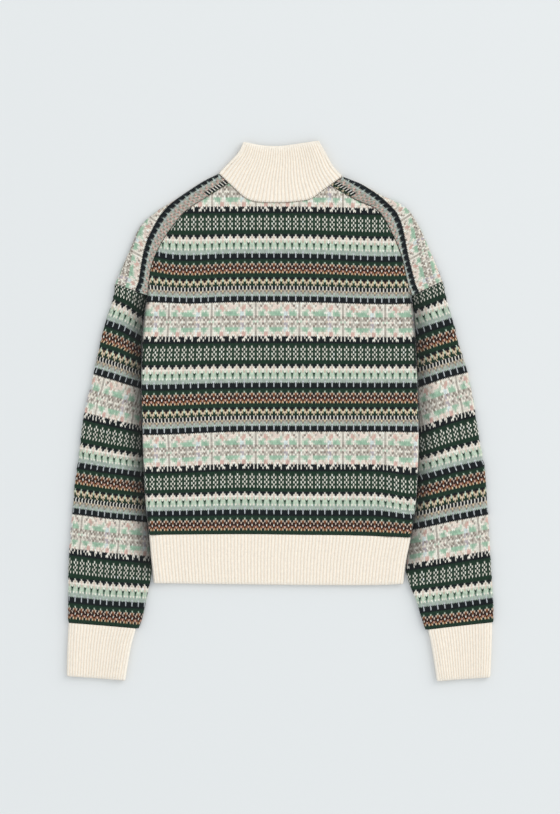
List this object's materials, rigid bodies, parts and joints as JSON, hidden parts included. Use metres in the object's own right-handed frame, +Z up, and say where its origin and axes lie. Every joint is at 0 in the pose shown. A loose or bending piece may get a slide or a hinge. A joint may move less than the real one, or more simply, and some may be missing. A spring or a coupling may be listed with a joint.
{
  "type": "knit jacket",
  "caption": "Fair Isle knit jacket laid flat on its front, with a ribbed stand-up collar, saddle shoulder straps, long sleeves beside the body, ribbed cuffs and a ribbed hem.",
  "frame": {"origin": "under the middle of the laid garment, on the surface that it lies on", "axes": "+Y from hem to collar, +X to the right as seen from above, +Z up out of the back panel, which faces up; the fronts lie underneath"},
  "size_m": [0.662, 0.838, 0.0113],
  "materials": {
    "fair_isle_knit": "matte stranded wool knit in navy, forest green, cream, mint, blue-grey, tan, rust, pink and taupe",
    "cream_rib": "matte cream wool rib"
  },
  "bodies": {
    "root": {"back": "fair_isle_knit", "front_left": "fair_isle_knit", "front_right": "fair_isle_knit", "shoulder_strap_left": "fair_isle_knit", "shoulder_strap_right": "fair_isle_knit", "sleeve_left": "fair_isle_knit", "sleeve_right": "fair_isle_knit", "cuff_left": "cream_rib", "cuff_right": "cream_rib", "hem_rib": "cream_rib", "collar": "cream_rib"}
  },
  "joints": []
}
